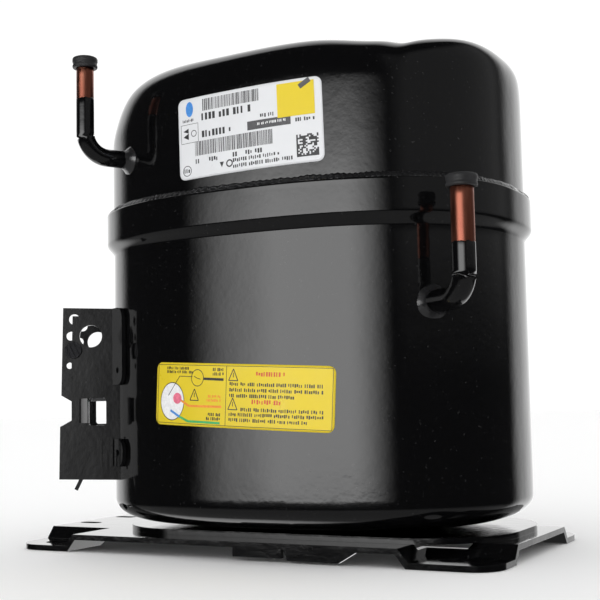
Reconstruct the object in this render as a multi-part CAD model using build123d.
from build123d import *
import os
from math import copysign, cos, pi, radians, sin, tan

# Hermetic reciprocating compressor, millimetres, +Z up.
# Origin: the centre of the four mounting holes, on the underside of the feet.
# The crank axis is vertical, the motor is below and the cylinder points along +X.

# ---- driving dimensions: base plate ----
SHEET = 2.5
STEP_HEIGHT = 5.5
PLATE_TOP = STEP_HEIGHT + SHEET
PLATE_LEFT = -118.0
PLATE_RIGHT = 124.0
PLATE_HALF_Y = 64.0
TONGUE_HALF_Y = 34.0
WAIST_HALF_X = 81.4
WALL_RUN = 5.6
HOLE_X = 101.6
HOLE_Y = 50.8
FOOT_HOLE_R = 6.0
FOOT_CORNER_R = 13.0
PLATFORM_RISE = 2.5

# ---- driving dimensions: welded shell ----
SHELL_X = 16.1
FLARE_HALF_X = 102.9
FLARE_HALF_Y = 78.8
PLAN_POWER = 2.49
OUTLINE_POINTS = 32
WALL = 3.0
BODY_INSET = 3.2
FLARE_WALL = 2.85
SKIRT_INSET = 2.9
FLARE_BOTTOM = 146.0
FLARE_TOP = 160.0
NECK_HEIGHT = 6.0
SKIRT_BOTTOM = 148.0
BOTTOM_Z = PLATE_TOP + PLATFORM_RISE
BOTTOM_CROWN = 3.0
CORNER_RUN = 18.0
CORNER_RISE = 10.5
BOTTOM_FLAT_INSET = 55.0
DOME_BOTTOM = 193.3
DOME_RISE = 33.2
# (plan power, rise power) of the dome at its soft left end and its tight right end
DOME_LEFT = (5.26, 1.2)
DOME_RIGHT = (7.56, 5.94)

# ---- driving dimensions: tubes ----
PROCESS_R = 7.94 / 2
SUCTION_R = 9.53 / 2
DISCHARGE_R = 7.94 / 2
TUBE_WALL = 0.9
TUBE_BEND_R = 11.0
PROCESS_ROOT = (-45.0, -58.0, 182.0)
PROCESS_LEG = (-58.1, -84.4)
PROCESS_TOP = 226.0
SUCTION_ROOT = (93.0, -49.5, 108.0)
SUCTION_LEG = (116.5, -68.2)
SUCTION_TOP = 155.0
DISCHARGE_ROOT = (45.0, 70.0, 75.0)
DISCHARGE_LEG = (45.0, 96.0)
DISCHARGE_TOP = 118.0
PLUG_DEPTH = 3.5
PLUG_CROWN = 1.7
PLUG_GAP = 0.05
PLUG_WALL = 1.5
SIZED_END = PLUG_DEPTH + 0.3
SIZED_CUT = 0.2
BRAZE_FLARE = 3.2
BRAZE_HEIGHT = 6.0

# ---- driving dimensions: labels ----
LABEL_THICKNESS = 0.25
RATING_LABEL = (22.3, 185.7, 71.0, 36.5, -1.3)
WARNING_LABEL = (15.7, 70.7, 89.0, 27.5, 3.0)
LABEL_CORNER_R = 3.0

# ---- driving dimensions: terminal and its bracket ----
TERMINAL_Z = 76.0
TERMINAL_R = 17.0
TERMINAL_TURN = 208.0
CUP_DEPTH = 6.0
CUP_PROUD = 0.6
SEAL_R = 3.84
SEAL_HALF = 1.4
PIN_R = 1.6
PIN_INNER_R = 1.5
PIN_CIRCLE_R = 8.5
PIN_OUTER_END = 11.4
PIN_INNER_END = -9.0
CONNECTOR = (-13.0, -6.5)
BRACKET_TURN = 214.0
BRACKET_SHEET = 2.0
NEAR_WALL_Y = 18.0
FAR_WALL_Y = -32.0
BRACKET_BOTTOM = 33.2
BRACKET_TOP = 114.1
EAR_LEVELS = ((77.5, 113.6, 84.3), (39.5, 52.3, 45.9))

# ---- driving dimensions: motor ----
CRANK_X = 4.0
STACK_BOTTOM = 46.0
STACK_TOP = 104.0
STATOR_HALF = 57.0
STATOR_CORNER_R = 20.0
STATOR_BORE_R = 31.0
AIR_GAP = 0.5
SLOT_COUNT = 24
SLOT_INNER_R = 33.5
SLOT_OUTER_R = 47.0
SLOT_WIDTH = 5.2
LINER = 0.35
COIL_HEIGHT = 18.0
BOLT_OFFSET = 44.0
BOLT_R = 3.0
END_RING_HEIGHT = 8.0
ROTOR_BAR_COUNT = 28

# ---- driving dimensions: pump ----
SHAFT_R = 9.0
RUNNING_GAP = 0.05
CRANK_THROW = 11.0
ROD_LENGTH = 46.0
CYLINDER_Z = 176.0
BORE_R = 19.0
PIN_END_GAP = 0.3
HUB_R = 18.0
HUB_BOTTOM = 114.0
HUB_TOP = 146.0
FRAME_BOTTOM = 131.0
FRAME_TOP = 138.0
THRUST = 1.5
WEB_BOTTOM = HUB_TOP + THRUST
WEB_TOP = 156.4
WEB_R = 20.5
COUNTERWEIGHT_R = 34.0
CRANK_PIN_R = 8.0
CRANK_PIN_TOP = 186.0
WRIST_PIN_R = 5.0
COMPRESSION_HEIGHT = 14.0
SKIRT_LENGTH = 13.0
BARREL_R = 27.0
BARREL_START = CRANK_X + 36.0
TOP_DEAD_CENTRE = CRANK_X + CRANK_THROW + ROD_LENGTH + COMPRESSION_HEIGHT
BARREL_END = TOP_DEAD_CENTRE + 0.6
GASKET = 0.8
VALVE_PLATE = 3.5
HEAD_DEPTH = 17.0
HEAD_HALF = 30.0
HEAD_BOLT_OFFSET = 24.0
REED = 0.4
PORT_R = 3.2
PORT_Y = 7.5
PORT_DROP = 2.0

# ---- driving dimensions: suspension and pipework ----
SPRING_BOTTOM = 18.0
SPRING_TOP = 41.0
SPRING_R = 8.0
SPRING_WIRE_R = 1.1
SPRING_TURNS = 5
PEG_R = 5.5
PIPE_R = 3.0
PIPE_WALL = 0.8
MUFFLER_WALL = 2.0
MUFFLER_Y = 52.0
MUFFLER_TOP = 172.0
LOOP_START_Y = 59.0
LEAD_R = 1.2

CORNER_SIGNS = [(-1, -1), (1, -1), (1, 1), (-1, 1)]
PLATE_FACE_X = BARREL_END + GASKET
HEAD_FACE_X = PLATE_FACE_X + VALVE_PLATE
HEAD_START_X = HEAD_FACE_X + GASKET


# ---- shared shapes ----
def outline_point(angle, inset, scale):
    """A point of the shell's rounded plan outline, inset from the flare."""
    power = 2 / PLAN_POWER
    x = copysign(abs(cos(angle)) ** power, cos(angle)) * (FLARE_HALF_X - inset)
    y = copysign(abs(sin(angle)) ** power, sin(angle)) * (FLARE_HALF_Y - inset)
    return SHELL_X + x * scale, y * scale


def outline_face(inset, z, scale_at=None):
    """The plan outline at one height; scale_at(angle) shrinks it unevenly."""
    points = []
    for index in range(OUTLINE_POINTS):
        angle = 2 * pi * index / OUTLINE_POINTS
        scale = scale_at(angle) if scale_at else 1.0
        x, y = outline_point(angle, inset, scale)
        points.append((x, y, z))
    return Face(Wire([Edge.make_spline([Vector(p) for p in points], periodic=True)]))


def prism(inset, z_low, z_high):
    return extrude(outline_face(inset, z_low), z_high - z_low, dir=(0, 0, 1))


def stack(levels):
    """A solid through the plan outline at each (inset, height)."""
    return loft([outline_face(inset, z) for inset, z in levels], ruled=True)


def ring(outer_r, inner_r, z_low, z_high):
    height = z_high - z_low
    washer = Cylinder(outer_r, height) - Cylinder(inner_r, height)
    return Pos(0, 0, (z_low + z_high) / 2) * washer


def rod_x(radius, x_low, x_high, y=0.0, z=0.0):
    """A cylinder along X."""
    middle = (x_low + x_high) / 2
    return Pos(middle, y, z) * Rot(0, 90, 0) * Cylinder(radius, x_high - x_low)


def rod_y(radius, y_low, y_high, x=0.0, z=0.0):
    """A cylinder along Y."""
    middle = (y_low + y_high) / 2
    return Pos(x, middle, z) * Rot(90, 0, 0) * Cylinder(radius, y_high - y_low)


def rod_z(radius, z_low, z_high, x=0.0, y=0.0):
    """A cylinder along Z."""
    return Pos(x, y, (z_low + z_high) / 2) * Cylinder(radius, z_high - z_low)


def block(x, y, z):
    """A box from three (low, high) pairs."""
    size = (x[1] - x[0], y[1] - y[0], z[1] - z[0])
    middle = (sum(x) / 2, sum(y) / 2, sum(z) / 2)
    return Pos(*middle) * Box(*size)


def pipe(points, bend_r, outer_r, inner_r):
    """A round tube swept along straight runs with filleted corners."""
    path = FilletPolyline(*points, radius=bend_r)
    section = Circle(outer_r)
    if inner_r > 0:
        section -= Circle(inner_r)
    start = Plane(path @ 0, z_dir=path % 0)
    return sweep(start * section, path=path)


def at_crank(shape):
    return Pos(CRANK_X, 0, 0) * shape


# ---- base plate ----
def foot(sign_x, sign_y):
    """One foot: a rounded pad joined to the plate by two mitred Z-bends."""
    reach = PLATE_RIGHT if sign_x > 0 else -PLATE_LEFT
    low_x = WAIST_HALF_X + WALL_RUN
    low_y = TONGUE_HALF_Y + WALL_RUN
    pad = Sketch() + Pos((low_x + reach) / 2, (low_y + PLATE_HALF_Y) / 2) * Rectangle(
        reach - low_x, PLATE_HALF_Y - low_y)
    outer = pad.vertices().group_by(Axis.X)[-1].sort_by(Axis.Y)[-1]
    pad = fillet(outer, FOOT_CORNER_R)
    pad = extrude(pad, SHEET)
    profile = [(0, STEP_HEIGHT), (0, PLATE_TOP), (1.2, PLATE_TOP), (WALL_RUN, SHEET), (WALL_RUN, 0),
               (WALL_RUN - 1.2, 0)]
    bend_x = extrude(Plane.XZ * make_face(Polyline(*profile, close=True)), -PLATE_HALF_Y)
    bend_x = Pos(WAIST_HALF_X, 0, 0) * bend_x
    bend_y = extrude(Plane.YZ * make_face(Polyline(*profile, close=True)), reach)
    bend_y = Pos(0, TONGUE_HALF_Y, 0) * bend_y
    far = 2 * PLATE_RIGHT
    corner = (WAIST_HALF_X, TONGUE_HALF_Y)
    mitre_x = Polyline(corner, (corner[0] + far, corner[1] + far), (corner[0], corner[1] + far), close=True)
    mitre_y = Polyline(corner, (corner[0] + far, corner[1] + far), (corner[0] + far, corner[1]), close=True)
    bend_x = bend_x & extrude(make_face(mitre_x), PLATE_TOP)
    bend_y = bend_y & extrude(make_face(mitre_y), PLATE_TOP)
    shape = pad + bend_x + bend_y - rod_z(FOOT_HOLE_R, -1, PLATE_TOP, HOLE_X, HOLE_Y)
    if sign_x < 0:
        shape = mirror(shape, Plane.YZ)
    if sign_y < 0:
        shape = mirror(shape, Plane.XZ)
    return shape


def base_plate():
    tongue = block((PLATE_LEFT, PLATE_RIGHT), (-TONGUE_HALF_Y, TONGUE_HALF_Y), (STEP_HEIGHT, PLATE_TOP))
    waist = block((-WAIST_HALF_X, WAIST_HALF_X), (-PLATE_HALF_Y, PLATE_HALF_Y), (STEP_HEIGHT, PLATE_TOP))
    plate = tongue + waist
    for sign_x, sign_y in CORNER_SIGNS:
        plate += foot(sign_x, sign_y)
    platform = (-78.0, 117.0, 50.0, 40.0)
    raised = platform_block(platform, 0, PLATE_TOP, BOTTOM_Z)
    hollow = platform_block(platform, SHEET, STEP_HEIGHT, BOTTOM_Z - SHEET)
    plate = plate + raised - hollow
    slot_x, slot_y, slot_length, slot_width = -110.0, 15.0, 12.0, 6.0
    for side in (-1, 1):
        slot = extrude(SlotOverall(slot_length, slot_width), 3 * SHEET)
        plate -= Pos(slot_x, side * slot_y, STEP_HEIGHT - SHEET) * slot
    tab_low, tab_y = 1.6, -PLATE_HALF_Y
    plate += block((5, 29), (tab_y, tab_y + SHEET), (tab_low, STEP_HEIGHT))
    slanted = [(30, STEP_HEIGHT), (32, tab_low - 0.8), (56, tab_low - 0.8), (64, STEP_HEIGHT)]
    web = extrude(Plane.XZ * make_face(Polyline(*slanted, close=True)), -SHEET)
    return plate + Pos(0, tab_y, 0) * web


def platform_block(platform, inset, z_low, z_high):
    """The pressed platform under the shell, a rounded rectangle."""
    left, right, half_y, corner_r = platform
    width = right - left - 2 * inset
    depth = 2 * (half_y - inset)
    plan = RectangleRounded(width, depth, corner_r - inset)
    return Pos((left + right) / 2, 0, z_low) * extrude(plan, z_high - z_low)


# ---- shell ----
def bowl(offset, top):
    """The lower shell's outline as a solid; offset thins it inwards."""
    side = BODY_INSET + offset
    bottom = BOTTOM_Z + offset
    edge = bottom + BOTTOM_CROWN
    levels = [(BOTTOM_FLAT_INSET, bottom), (side + CORNER_RUN + 14, bottom + BOTTOM_CROWN * 0.45)]
    for step in range(6):
        turn = radians(18 * step)
        levels.append((side + CORNER_RUN * (1 - sin(turn)), edge + CORNER_RISE * (1 - cos(turn))))
    flare_inset = FLARE_WALL if offset else 0.0
    neck_low = FLARE_BOTTOM - NECK_HEIGHT - offset
    shape = stack(levels) + prism(side, edge + CORNER_RISE, neck_low)
    neck = []
    for step in range(5):
        part = step / 4
        blend = (1 - cos(pi * part)) / 2
        neck.append((side + (flare_inset - side) * blend, neck_low + NECK_HEIGHT * part))
    shape += stack(neck)
    return shape + prism(flare_inset, neck_low + NECK_HEIGHT, top)


def lower_shell():
    shell = bowl(0, FLARE_TOP) - bowl(WALL, FLARE_TOP + 1)
    shell -= shell_place(TERMINAL_TURN) * rod_x(TERMINAL_R, -14, 6, 0, TERMINAL_Z)
    shell -= tube_bore(SUCTION_ROOT, SUCTION_LEG, SUCTION_R)
    return shell - tube_bore(DISCHARGE_ROOT, DISCHARGE_LEG, DISCHARGE_R)


def dome_scale(rise):
    """How far the dome has drawn in at each angle, for a rise from 0 to 1."""
    def scale_at(angle):
        towards_right = copysign(abs(cos(angle)) ** (2 / PLAN_POWER), cos(angle))
        softness = ((1 - towards_right) / 2) ** 2
        plan = softness * DOME_LEFT[0] + (1 - softness) * DOME_RIGHT[0]
        lift = softness * DOME_LEFT[1] + (1 - softness) * DOME_RIGHT[1]
        return (1 - rise ** lift) ** (1 / plan)
    return scale_at


def dome(offset, z_low):
    """The upper shell's outline as a solid; offset thins it inwards."""
    inset = SKIRT_INSET + offset
    height = DOME_RISE - offset
    faces = []
    steps = 9
    for step in range(steps + 1):
        rise = sin(radians(82 * step / steps))
        faces.append(outline_face(inset, DOME_BOTTOM + height * rise, dome_scale(rise)))
    return prism(inset, z_low, DOME_BOTTOM) + loft(faces, ruled=True)


def upper_shell():
    shell = dome(0, SKIRT_BOTTOM) - dome(WALL, SKIRT_BOTTOM - 1)
    return shell - tube_bore(PROCESS_ROOT, PROCESS_LEG, PROCESS_R)


def weld_bead():
    """The fillet weld on the flare's rim, all round the upper shell."""
    levels = [
        (0.4, FLARE_TOP), (0.7, FLARE_TOP + 1.0), (1.6, FLARE_TOP + 2.1), (SKIRT_INSET, FLARE_TOP + 2.8),
    ]
    return stack(levels) - prism(SKIRT_INSET, FLARE_TOP - 1, FLARE_TOP + 4)


# ---- tubes ----
def tube_bore(root, leg, radius):
    """The hole that a tube's level run needs in the shell."""
    run = Vector(leg[0] - root[0], leg[1] - root[1], 0)
    plane = Plane(origin=Vector(*root) - run.normalized() * 8, z_dir=run)
    return plane * Pos(0, 0, 12) * Cylinder(radius, 24)


def stub_tube(root, leg, top, radius):
    """A bent stub whose open end is sized a little under its radius."""
    points = [root, (leg[0], leg[1], root[2]), (leg[0], leg[1], top)]
    tube = pipe(points, TUBE_BEND_R, radius, radius - TUBE_WALL)
    skim = ring(radius + 1, radius - SIZED_CUT, top - SIZED_END, top + 1)
    return tube - Pos(leg[0], leg[1], 0) * skim


def braze_collar(root, leg, radius, shell_solid):
    """The braze fillet where a tube leaves the shell."""
    run = Vector(leg[0] - root[0], leg[1] - root[1], 0)
    plane = Plane(origin=Vector(*root), z_dir=run)
    cone = Pos(0, 0, BRAZE_HEIGHT) * Cone(radius + BRAZE_FLARE, radius + 0.3, 2 * BRAZE_HEIGHT)
    cone -= Pos(0, 0, BRAZE_HEIGHT) * Cylinder(radius, 4 * BRAZE_HEIGHT)
    collar = plane * cone - shell_solid
    return max(collar.solids(), key=lambda solid: solid.volume)


def tube_plug(leg, top, radius):
    """A pull-off cap over a tube's open end, a little wider at its top."""
    bore = radius - SIZED_CUT + PLUG_GAP
    height = PLUG_DEPTH + PLUG_CROWN
    cap = Cone(bore + PLUG_WALL, bore + PLUG_WALL + 0.5, height)
    cap = Pos(0, 0, top - PLUG_DEPTH + height / 2) * cap
    cap = chamfer(cap.edges().sort_by(Axis.Z)[-1], 0.6)
    cap -= rod_z(bore, top - PLUG_DEPTH - 1, top + 0.1)
    return Pos(leg[0], leg[1], 0) * cap


# ---- labels ----
def label(window, band):
    """A rounded sticker cut from a thin band round the shell, tilted about Y."""
    x, z, width, height, tilt = window
    sheet = extrude(RectangleRounded(width, height, LABEL_CORNER_R), FLARE_HALF_Y)
    cutter = Pos(x, 0, z) * Rot(0, tilt, 0) * Rot(90, 0, 0) * sheet
    return band & cutter


# ---- terminal and bracket ----
def shell_place(turn):
    """The frame on the lower shell's side whose X points outwards at this angle."""
    half_x = FLARE_HALF_X - BODY_INSET
    half_y = FLARE_HALF_Y - BODY_INSET
    slope = tan(radians(turn)) * half_y / half_x
    ratio = slope ** (1 / (PLAN_POWER - 1))
    share = (1 / (1 + ratio ** PLAN_POWER)) ** (1 / PLAN_POWER)
    return Pos(SHELL_X - half_x * share, -half_y * ratio * share, 0) * Rot(0, 0, turn)


def pin_places():
    places = []
    for index in range(3):
        angle = radians(90 + 120 * index)
        places.append((PIN_CIRCLE_R * cos(angle), TERMINAL_Z + PIN_CIRCLE_R * sin(angle)))
    return places


def terminal_body():
    """The steel cup that closes the hole in the shell."""
    body = rod_x(TERMINAL_R, -CUP_DEPTH, CUP_PROUD, 0, TERMINAL_Z)
    body -= rod_x(TERMINAL_R - 2, -CUP_DEPTH, -SEAL_HALF, 0, TERMINAL_Z)
    for y, z in pin_places():
        body -= rod_x(SEAL_R, -SEAL_HALF, 1, y, z)
    return shell_place(TERMINAL_TURN) * body


def terminal_glass():
    seals = [rod_x(SEAL_R, -SEAL_HALF, SEAL_HALF, y, z) - rod_x(PIN_INNER_R, -2, 2, y, z)
             for y, z in pin_places()]
    return Compound(children=[shell_place(TERMINAL_TURN) * seal for seal in seals])


def terminal_pins():
    """Three pins, a little slimmer through the glass and inside."""
    pins = []
    for y, z in pin_places():
        pin = rod_x(PIN_R, SEAL_HALF, PIN_OUTER_END, y, z)
        pin += rod_x(PIN_INNER_R, PIN_INNER_END, SEAL_HALF, y, z)
        pins.append(shell_place(TERMINAL_TURN) * pin)
    return Compound(children=pins)


def connector_block():
    """The plug that pushes on the terminal's inner pins."""
    body = block(CONNECTOR, (-14, 14), (TERMINAL_Z - 12, TERMINAL_Z + 13))
    body = fillet(body.edges().filter_by(Axis.X), 4)
    for y, z in pin_places():
        body -= rod_x(PIN_INNER_R, PIN_INNER_END, 0, y, z)
    return shell_place(TERMINAL_TURN) * body


def bracket_wall(root, out):
    """One side wall in its own XZ plane: root is its shell end, out its outer side."""
    outline = [
        (25.1, BRACKET_BOTTOM + 0.9), (root + 2, BRACKET_BOTTOM), (root, BRACKET_BOTTOM + 2),
        (root, 113.4), (23.2, BRACKET_TOP), (24.1, 73.0), (19.4, 70.2), (19.4, 61.3), (24.7, 58.4),
    ]
    wall = extrude(Plane.XZ * make_face(Polyline(*outline, close=True)), BRACKET_SHEET / 2, both=True)
    holes = [(18.1, 108.7, 2.5), (19.7, 100.8, 2.1), (10.4, 100.6, 5.2), (20.3, 86.9, 1.5)]
    for x, z, radius in holes:
        wall -= rod_y(radius, -3, 3, x, z)
    window = fillet(Box(8.0, 4 * BRACKET_SHEET, 12.8).edges().filter_by(Axis.Y), 1.2)
    wall -= Pos(7.4, 0, 65.2) * window
    louver = make_face(Polyline((0, 0), (0.5, 2.6 * out), (3.4, 1.4 * out), (4.6, 0), close=True))
    wall += Pos(11.4, out * (BRACKET_SHEET / 2 - 0.2), 60.0) * extrude(louver, 11.4, dir=(0, 0, 1))
    for x, z_low, z_high in ((5.6, 39.4, 51.9), (3.2, 37.9, 47.2), (0.8, 39.7, 53.2)):
        wall += Pos(x, out * BRACKET_SHEET / 2, (z_low + z_high) / 2) * Box(1.0, 1.4, z_high - z_low)
    if out > 0:
        wall += Pos(16.2, 0, 31.6) * Rot(0, -26, 0) * Box(1.7, 1.4, 5.6)
    return wall


def bracket_ears(start, turn, out):
    """Two rounded weld ears that lead from a wall's root along the shell."""
    length = 11.0
    ears = []
    for z_low, z_high, hole_z in EAR_LEVELS:
        height = z_high - z_low
        plate = Box(length, BRACKET_SHEET, height)
        plate = fillet(plate.edges().filter_by(Axis.Y).sort_by(Axis.X)[-2:], 5.0)
        plate = Pos(0, 0, (z_low + z_high) / 2) * plate - rod_y(1.4, -3, 3, 0.5, hole_z)
        frame = Pos(*start, 0) * Rot(0, 0, turn) * Pos(length / 2 - 0.8, out * BRACKET_SHEET / 2, 0)
        ears.append(frame * plate)
    return ears


def terminal_bracket():
    """Two side walls, a strap that hugs the shell between them, and weld ears."""
    place = shell_place(BRACKET_TURN)
    levels = (44.0, 104.0)
    strap = prism(BODY_INSET - BRACKET_SHEET, *levels) - prism(BODY_INSET, *levels)
    strap &= place * block((-30, 10), (FAR_WALL_Y, NEAR_WALL_Y), levels)
    strap -= shell_place(TERMINAL_TURN) * rod_x(TERMINAL_R + 5, -14, 12, 0, TERMINAL_Z)
    shape = Pos(0, NEAR_WALL_Y, 0) * bracket_wall(-6.0, 1) + Pos(0, FAR_WALL_Y, 0) * bracket_wall(-16.0, -1)
    for ear in bracket_ears((-1.5, NEAR_WALL_Y), 117.3, -1) + bracket_ears((-10.5, FAR_WALL_Y), -124.0, 1):
        shape += ear
    shape = place * shape - prism(BODY_INSET, BRACKET_BOTTOM - 8, BRACKET_TOP + 4)
    return strap + shape


def bracket_screw():
    """The knurled earth screw in the bracket's near wall."""
    x, z, radius = 18.5, 94.1, 3.9
    y = NEAR_WALL_Y + BRACKET_SHEET / 2
    head = rod_y(radius, y, y + 2.2, x, z)
    for offset in (-2.0, 0, 2.0):
        head -= Pos(x, y + 2.2, z) * Rot(0, 25, 0) * Pos(offset, 0, 0) * Box(0.8, 1.6, 3 * radius)
    return shell_place(BRACKET_TURN) * head


# ---- motor ----
def stator_plan():
    plan = RectangleRounded(2 * STATOR_HALF, 2 * STATOR_HALF, STATOR_CORNER_R) - Circle(STATOR_BORE_R)
    slots = PolarLocations(0, SLOT_COUNT) * slot_plan(0)
    for slot in slots:
        plan -= slot
    throat = Rectangle(SLOT_INNER_R - STATOR_BORE_R + 2, 1.6)
    for place in PolarLocations(0, SLOT_COUNT):
        plan -= place * Pos((STATOR_BORE_R + SLOT_INNER_R) / 2, 0) * throat
    return plan


def slot_plan(inset):
    """A stator slot, wider outwards."""
    low, high = SLOT_INNER_R + inset, SLOT_OUTER_R - inset
    near, far = SLOT_WIDTH / 2 - inset, SLOT_WIDTH / 2 + 1.2 - inset
    return make_face(Polyline((low, -near), (high, -far), (high, far), (low, near), close=True))


def stator_core():
    core = extrude(Pos(0, 0, STACK_BOTTOM) * stator_plan(), STACK_TOP - STACK_BOTTOM)
    for sign_x, sign_y in CORNER_SIGNS:
        core -= rod_z(BOLT_R, STACK_BOTTOM, STACK_TOP, sign_x * BOLT_OFFSET, sign_y * BOLT_OFFSET)
    return at_crank(core)


def slot_liners():
    """Insulating sleeves that line the slots, standing out at both ends."""
    stand_out = 2.0
    plan = slot_plan(0.01) - slot_plan(LINER)
    sleeve = extrude(plan, STACK_TOP - STACK_BOTTOM + 2 * stand_out)
    sleeves = [Pos(CRANK_X, 0, STACK_BOTTOM - stand_out) * place * sleeve
               for place in PolarLocations(0, SLOT_COUNT)]
    return Compound(children=sleeves)


def coil_end(z_low, z_high):
    """A bundled ring of end turns with rounded edges."""
    bundle = ring(SLOT_OUTER_R + 1.5, SLOT_INNER_R - 0.5, z_low, z_high)
    return fillet(bundle.edges(), 4.5)


def stator_windings():
    gap = 3.0
    coil = extrude(slot_plan(LINER + 0.05), STACK_TOP - STACK_BOTTOM + 4 * gap)
    shape = coil_end(STACK_TOP + gap, STACK_TOP + COIL_HEIGHT)
    shape += coil_end(STACK_BOTTOM - COIL_HEIGHT, STACK_BOTTOM - gap)
    for place in PolarLocations(0, SLOT_COUNT):
        shape += Pos(0, 0, STACK_BOTTOM - 2 * gap) * place * coil
    return at_crank(shape)


def overload_protector():
    top = STACK_TOP + COIL_HEIGHT
    case = Pos(0, -(SLOT_INNER_R + SLOT_OUTER_R) / 2, top + 4) * Box(22, 11, 8)
    return at_crank(fillet(case.edges().filter_by(Axis.X), 2))


def rotor_core():
    radius = STATOR_BORE_R - AIR_GAP
    plan = Circle(radius) - Circle(SHAFT_R)
    for place in PolarLocations(radius - 5, ROTOR_BAR_COUNT):
        plan -= place * SlotOverall(7, 3)
    return at_crank(extrude(Pos(0, 0, STACK_BOTTOM) * plan, STACK_TOP - STACK_BOTTOM))


def rotor_cage():
    """Cast aluminium bars with an end ring at each end."""
    radius = STATOR_BORE_R - AIR_GAP
    low = STACK_BOTTOM - END_RING_HEIGHT
    cage = ring(radius - 1, radius - 10, STACK_TOP, STACK_TOP + END_RING_HEIGHT)
    cage += ring(radius - 1, radius - 10, low, STACK_BOTTOM)
    bar = extrude(SlotOverall(7, 3), STACK_TOP - STACK_BOTTOM + 2)
    for place in PolarLocations(radius - 5, ROTOR_BAR_COUNT):
        cage += Pos(0, 0, STACK_BOTTOM - 1) * place * bar
    return at_crank(cage)


# ---- crankshaft, rod and piston ----
def crankshaft():
    shaft = rod_z(SHAFT_R, 30, WEB_BOTTOM) + rod_z(WEB_R, WEB_BOTTOM, WEB_TOP)
    shaft -= rod_z(2, 29, HUB_TOP)
    shaft -= rod_x(1.5, -SHAFT_R - 1, 0, 0, (HUB_BOTTOM + HUB_TOP) / 2)
    return at_crank(shaft)


def counterweight():
    """A half-moon clamped round the web, opposite the crank pin."""
    thickness = WEB_TOP - WEB_BOTTOM
    moon = ring(COUNTERWEIGHT_R, WEB_R, WEB_BOTTOM, WEB_TOP)
    keep = Pos(COUNTERWEIGHT_R / 2 + 4, 0, WEB_BOTTOM + thickness / 2)
    moon &= keep * Box(COUNTERWEIGHT_R, 2 * COUNTERWEIGHT_R, thickness)
    moon = fillet(moon.edges().filter_by(Axis.Z), 1.5)
    return at_crank(moon)


def oil_pickup():
    cup = Pos(0, 0, 24) * Cone(4, SHAFT_R, 12) - rod_z(2, 17, 31)
    return at_crank(cup)


def crank_pin():
    return rod_z(CRANK_PIN_R, WEB_TOP + PIN_END_GAP, CRANK_PIN_TOP, CRANK_X - CRANK_THROW)


def connecting_rod():
    """Rod at bottom dead centre, big end on the crank pin."""
    big_x = CRANK_X - CRANK_THROW
    small_x = big_x + ROD_LENGTH
    big_half, small_half = 8.0, 7.0
    rod = rod_z(13, CYLINDER_Z - big_half, CYLINDER_Z + big_half, big_x)
    rod += rod_z(9.5, CYLINDER_Z - small_half, CYLINDER_Z + small_half, small_x)
    rod += block((big_x, small_x), (-5, 5), (CYLINDER_Z - 5, CYLINDER_Z + 5))
    rod -= rod_z(CRANK_PIN_R, CYLINDER_Z - 20, CYLINDER_Z + 20, big_x)
    return rod - rod_z(WRIST_PIN_R + RUNNING_GAP, CYLINDER_Z - 20, CYLINDER_Z + 20, small_x)


def piston():
    wrist_x = CRANK_X - CRANK_THROW + ROD_LENGTH
    radius = BORE_R - RUNNING_GAP
    body = rod_x(radius, wrist_x - SKIRT_LENGTH, wrist_x + COMPRESSION_HEIGHT, 0, CYLINDER_Z)
    body -= rod_x(radius - 3.5, wrist_x - SKIRT_LENGTH - 1, wrist_x + 10.5, 0, CYLINDER_Z)
    boss = rod_z(8, CYLINDER_Z - 17, CYLINDER_Z + 17, wrist_x)
    boss -= rod_z(9, CYLINDER_Z - 7.5, CYLINDER_Z + 7.5, wrist_x)
    body += boss
    return body - rod_z(WRIST_PIN_R, CYLINDER_Z - 25, CYLINDER_Z + 25, wrist_x)


def wrist_pin():
    wrist_x = CRANK_X - CRANK_THROW + ROD_LENGTH
    half = 17.0
    pin = rod_z(WRIST_PIN_R, CYLINDER_Z - half, CYLINDER_Z + half, wrist_x)
    return pin - rod_z(2.5, CYLINDER_Z - half, CYLINDER_Z + half, wrist_x)


# ---- crankcase, bearing and valves ----
def crankcase():
    """Casting: four legs, a frame, the bearing hub and the cylinder barrel."""
    frame = RectangleRounded(2 * BOLT_OFFSET + 18, 2 * BOLT_OFFSET + 18, 9)
    frame = extrude(frame, FRAME_TOP - FRAME_BOTTOM)
    body = Pos(0, 0, FRAME_BOTTOM) * frame
    for side in (-1, 1):
        body -= Pos(-8, side * 34, FRAME_BOTTOM) * extrude(RectangleRounded(40, 18, 6), 10)
    for sign_x, sign_y in CORNER_SIGNS:
        x, y = sign_x * BOLT_OFFSET, sign_y * BOLT_OFFSET
        body += rod_z(8, STACK_TOP, FRAME_TOP, x, y)
    body += rod_z(HUB_R, HUB_BOTTOM, HUB_TOP)
    body = at_crank(body)
    body += block((BARREL_START, BARREL_END - 9), (-22, 22), (FRAME_TOP - 1, CYLINDER_Z))
    body += rod_x(BARREL_R, BARREL_START, BARREL_END, 0, CYLINDER_Z)
    levels = (CYLINDER_Z - HEAD_HALF, CYLINDER_Z + HEAD_HALF)
    body += block((BARREL_END - 9, BARREL_END), (-HEAD_HALF, HEAD_HALF), levels)
    body -= rod_x(BORE_R, BARREL_START - 1, BARREL_END + 1, 0, CYLINDER_Z)
    body -= at_crank(rod_z(SHAFT_R + 2, HUB_BOTTOM - 1, HUB_TOP + 1))
    for sign_x, sign_y in CORNER_SIGNS:
        x, y = CRANK_X + sign_x * BOLT_OFFSET, sign_y * BOLT_OFFSET
        body -= rod_z(BOLT_R, STACK_TOP - 1, STACK_TOP + 20, x, y)
    for y, z in head_bolt_places():
        body -= rod_x(BOLT_R, BARREL_END - 9, BARREL_END, y, z)
    return body


def main_bearing():
    return at_crank(ring(SHAFT_R + 2, SHAFT_R + RUNNING_GAP, HUB_BOTTOM, HUB_TOP))


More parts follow.
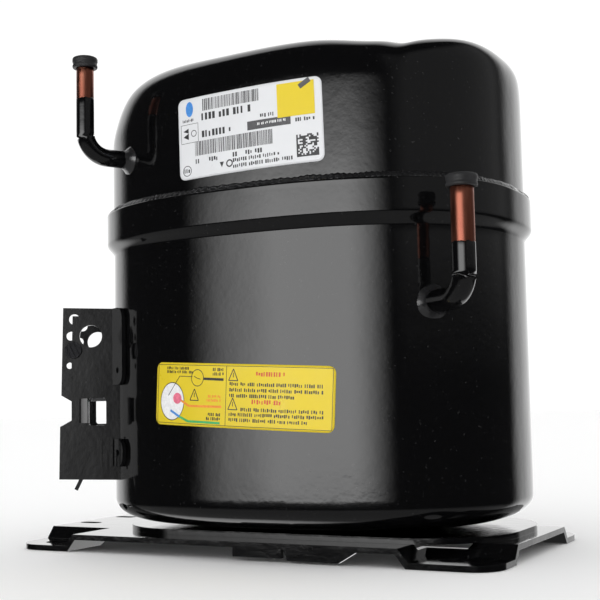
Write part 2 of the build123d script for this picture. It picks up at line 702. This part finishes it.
def thrust_washer():
    return at_crank(ring(HUB_R - 1, SHAFT_R + 0.5, HUB_TOP, WEB_BOTTOM - 0.05))


def head_bolt_places():
    return [(sign_y * HEAD_BOLT_OFFSET, CYLINDER_Z + sign_z * HEAD_BOLT_OFFSET)
            for sign_y, sign_z in CORNER_SIGNS]


def head_layer(x_low, x_high):
    """A square layer of the cylinder head stack, drilled for its bolts."""
    layer = block((x_low, x_high), (-HEAD_HALF, HEAD_HALF), (CYLINDER_Z - HEAD_HALF, CYLINDER_Z + HEAD_HALF))
    for y, z in head_bolt_places():
        layer -= rod_x(BOLT_R, x_low - 1, x_high + 1, y, z)
    return layer


def plenum(side, x_low, x_high):
    """One chamber of the cylinder head: suction at -Y, discharge at +Y."""
    wall = 1.5
    near, far = side * wall, side * 19.0
    return block((x_low, x_high), (min(near, far), max(near, far)), (CYLINDER_Z - 17, CYLINDER_Z + 17))


def cylinder_gasket():
    opening = rod_x(BORE_R + 0.5, BARREL_END - 1, PLATE_FACE_X + 1, 0, CYLINDER_Z)
    return head_layer(BARREL_END, PLATE_FACE_X) - opening


def valve_plate():
    plate = head_layer(PLATE_FACE_X, HEAD_FACE_X)
    for side in (-1, 1):
        plate -= rod_x(PORT_R, PLATE_FACE_X - 1, HEAD_FACE_X + 1, side * PORT_Y, CYLINDER_Z - PORT_DROP)
    return plate


def reed(x_low, side):
    """A flapper that covers one port, clamped along its upper edge."""
    width, low, high = 8.0, CYLINDER_Z - 8.0, CYLINDER_Z + 12.5
    flap = block((x_low, x_low + REED), (side * PORT_Y - width / 2, side * PORT_Y + width / 2), (low, high))
    return fillet(flap.edges().filter_by(Axis.X).group_by(Axis.Z)[0], width / 2 - 0.5)


def reed_stop():
    """The curved keeper that limits the discharge reed's lift."""
    start = HEAD_FACE_X + REED + 0.3
    base_z = CYLINDER_Z + 12.8
    low_z = CYLINDER_Z - 8.0
    foot_block = block((HEAD_FACE_X, start + 3), (PORT_Y - 4, PORT_Y + 4), (base_z, base_z + 4))
    profile = [(start, base_z), (start + 3, base_z), (start + 4.6, low_z), (start + 3.2, low_z)]
    arm = extrude(Plane.XZ * make_face(Polyline(*profile, close=True)), 4, both=True)
    return foot_block + Pos(0, PORT_Y, 0) * arm


def head_gasket():
    return head_layer(HEAD_FACE_X, HEAD_START_X) - plenum(-1, HEAD_FACE_X - 1, HEAD_START_X + 1) - plenum(
        1, HEAD_FACE_X - 1, HEAD_START_X + 1)


def cylinder_head():
    end = HEAD_START_X + HEAD_DEPTH
    head = head_layer(HEAD_START_X, end)
    head = chamfer(head.faces().sort_by(Axis.X)[-1].outer_wire().edges(), 2)
    for side in (-1, 1):
        head -= plenum(side, HEAD_START_X - 1, end - 4)
        head -= rod_z(PIPE_R, CYLINDER_Z, CYLINDER_Z + HEAD_HALF + 1, HEAD_START_X + 8, side * 12)
    return head


def head_bolts():
    end = HEAD_START_X + HEAD_DEPTH
    bolts = []
    for y, z in head_bolt_places():
        shank = rod_x(BOLT_R, BARREL_END - 9, end, y, z)
        head = extrude(RegularPolygon(5.5, 6), 2, both=True)
        bolts.append(shank + Pos(end + 2, y, z) * Rot(0, 90, 0) * head)
    return Compound(children=bolts)


# ---- suspension ----
def spring_places():
    return [(CRANK_X + sign_x * BOLT_OFFSET, sign_y * BOLT_OFFSET) for sign_x, sign_y in CORNER_SIGNS]


def spring_studs(shell_solid):
    """Seats welded to the shell's floor; their undersides follow the floor."""
    studs = []
    for x, y in spring_places():
        stud = rod_z(SPRING_R + 1.5, BOTTOM_Z + 1, SPRING_BOTTOM, x, y)
        stud += rod_z(PEG_R, SPRING_BOTTOM, 26, x, y)
        cut = (stud - shell_solid).solids()
        studs.append(max(cut, key=lambda solid: solid.volume))
    return Compound(children=studs)


def suspension_spring(place):
    height = SPRING_TOP - SPRING_BOTTOM - 2 * SPRING_WIRE_R
    path = Helix(pitch=height / SPRING_TURNS, height=height, radius=SPRING_R)
    section = Plane(path @ 0, z_dir=path % 0) * Circle(SPRING_WIRE_R)
    return Pos(place[0], place[1], SPRING_BOTTOM + SPRING_WIRE_R) * sweep(section, path=path, is_frenet=True)


def stator_bolts():
    """Through bolts; each head carries the upper seat of a spring."""
    bolts = []
    for x, y in spring_places():
        bolt = rod_z(BOLT_R, SPRING_TOP, STACK_TOP + 18, x, y)
        bolt += rod_z(SPRING_R + 2, SPRING_TOP, STACK_BOTTOM, x, y)
        bolts.append(bolt + rod_z(PEG_R, SPRING_TOP - 8, SPRING_TOP, x, y))
    return Compound(children=bolts)


# ---- gas path inside the shell ----
def suction_muffler():
    outer = fillet(block((-66, -34), (-24, 24), (FRAME_TOP, 180)).edges(), 6)
    inner = block((-66 + MUFFLER_WALL, -34 - MUFFLER_WALL), (-24 + MUFFLER_WALL, 24 - MUFFLER_WALL),
                  (FRAME_TOP + MUFFLER_WALL, 180 - MUFFLER_WALL))
    case = outer - fillet(inner.edges(), 4)
    return case - rod_z(PIPE_R, 170, 181, -45, -12) - rod_x(4, -70, -60, 8, 160)


def discharge_muffler():
    can = rod_z(14, FRAME_TOP, MUFFLER_TOP, CRANK_X, MUFFLER_Y)
    can = chamfer(can.edges().filter_by(GeomType.CIRCLE).sort_by(Axis.Z)[-1], 3)
    low, high = FRAME_TOP + MUFFLER_WALL, MUFFLER_TOP - 2 * MUFFLER_WALL
    can -= rod_z(14 - MUFFLER_WALL, low, high, CRANK_X, MUFFLER_Y)
    can -= rod_z(PIPE_R, MUFFLER_TOP - 7, MUFFLER_TOP + 1, CRANK_X, MUFFLER_Y)
    return can - rod_z(PIPE_R, FRAME_TOP - 1, FRAME_TOP + 5, CRANK_X, LOOP_START_Y)


def suction_pipe():
    port_x = HEAD_START_X + 8
    top = 213.0
    points = [(-45, -12, 178), (-45, -12, 202), (50, -12, top), (port_x, -12, top), (port_x, -12, 204)]
    return pipe(points, 6, PIPE_R, PIPE_R - PIPE_WALL)


def discharge_pipe():
    port_x = HEAD_START_X + 8
    top = 213.0
    points = [(port_x, 12, 204), (port_x, 12, top), (40, 20, top), (CRANK_X, MUFFLER_Y, 200),
              (CRANK_X, MUFFLER_Y, MUFFLER_TOP - 2)]
    return pipe(points, 6, PIPE_R, PIPE_R - PIPE_WALL)


def shock_loop():
    """The flexing discharge line between the pump and the shell."""
    y = 63.8
    low = DISCHARGE_ROOT[2]
    points = [
        (CRANK_X, LOOP_START_Y, FRAME_TOP), (CRANK_X, LOOP_START_Y, 126), (CRANK_X, y, 116), (-20, y, 108),
        (-20, y, 92), (DISCHARGE_ROOT[0], y, 92), (DISCHARGE_ROOT[0], y - 3, low), (*DISCHARGE_ROOT[:2], low),
    ]
    return pipe(points, 4, PIPE_R, PIPE_R - PIPE_WALL)


def lead_wires():
    """Three leads from the connector to the windings."""
    low = TERMINAL_Z + 13
    start, end = sum(CONNECTOR) / 2, -39.6
    leads = []
    for index in (-1, 0, 1):
        y = 4 + 4.5 * index
        points = [(start, y, low), (start, y, low + 18), (end, y, 114)]
        leads.append(shell_place(TERMINAL_TURN) * pipe(points, 6, LEAD_R, 0))
    return Compound(children=leads)


# ---- write one file per piece ----
def build_nodes():
    lower = lower_shell()
    outer_bowl = bowl(0, FLARE_TOP)
    outer_dome = dome(0, SKIRT_BOTTOM)
    rating_band = dome(-LABEL_THICKNESS, FLARE_TOP + 4) - outer_dome
    warning_low, warning_high = WARNING_LABEL[1] - 30, WARNING_LABEL[1] + 30
    warning_band = prism(BODY_INSET - LABEL_THICKNESS, warning_low, warning_high)
    warning_band -= prism(BODY_INSET, warning_low, warning_high)
    nodes = {
        "base_plate": base_plate(),
        "lower_shell": lower,
        "upper_shell": upper_shell(),
        "weld_bead": weld_bead(),
        "process_tube": stub_tube(PROCESS_ROOT, PROCESS_LEG, PROCESS_TOP, PROCESS_R),
        "suction_tube": stub_tube(SUCTION_ROOT, SUCTION_LEG, SUCTION_TOP, SUCTION_R),
        "discharge_tube": stub_tube(DISCHARGE_ROOT, DISCHARGE_LEG, DISCHARGE_TOP, DISCHARGE_R),
        "process_tube_braze": braze_collar(PROCESS_ROOT, PROCESS_LEG, PROCESS_R, outer_dome),
        "suction_tube_braze": braze_collar(SUCTION_ROOT, SUCTION_LEG, SUCTION_R, outer_bowl),
        "discharge_tube_braze": braze_collar(DISCHARGE_ROOT, DISCHARGE_LEG, DISCHARGE_R, outer_bowl),
        "process_tube_plug": tube_plug(PROCESS_LEG, PROCESS_TOP, PROCESS_R),
        "suction_tube_plug": tube_plug(SUCTION_LEG, SUCTION_TOP, SUCTION_R),
        "discharge_tube_plug": tube_plug(DISCHARGE_LEG, DISCHARGE_TOP, DISCHARGE_R),
        "rating_label": label(RATING_LABEL, rating_band),
        "warning_label": label(WARNING_LABEL, warning_band),
        "terminal_bracket": terminal_bracket(),
        "bracket_screw": bracket_screw(),
        "terminal_body": terminal_body(),
        "terminal_glass": terminal_glass(),
        "terminal_pins": terminal_pins(),
        "connector_block": connector_block(),
        "lead_wires": lead_wires(),
        "spring_studs": spring_studs(lower),
        "stator_bolts": stator_bolts(),
        "stator_core": stator_core(),
        "stator_windings": stator_windings(),
        "slot_liners": slot_liners(),
        "overload_protector": overload_protector(),
        "rotor_core": rotor_core(),
        "rotor_cage": rotor_cage(),
        "crankshaft": crankshaft(),
        "counterweight": counterweight(),
        "oil_pickup": oil_pickup(),
        "crank_pin": crank_pin(),
        "connecting_rod": connecting_rod(),
        "piston": piston(),
        "wrist_pin": wrist_pin(),
        "main_bearing": main_bearing(),
        "thrust_washer": thrust_washer(),
        "crankcase": crankcase(),
        "cylinder_gasket": cylinder_gasket(),
        "suction_reed": reed(PLATE_FACE_X - REED, -1),
        "valve_plate": valve_plate(),
        "discharge_reed": reed(HEAD_FACE_X, 1),
        "reed_stop": reed_stop(),
        "head_gasket": head_gasket(),
        "cylinder_head": cylinder_head(),
        "head_bolts": head_bolts(),
        "suction_muffler": suction_muffler(),
        "discharge_muffler": discharge_muffler(),
        "suction_pipe": suction_pipe(),
        "discharge_pipe": discharge_pipe(),
        "shock_loop": shock_loop(),
    }
    for index, place in enumerate(spring_places(), start=1):
        nodes[f"suspension_spring_{index}"] = suspension_spring(place)
    return nodes


os.makedirs("parts", exist_ok=True)
for name, shape in build_nodes().items():
    export_step(shape, f"parts/{name}.step")
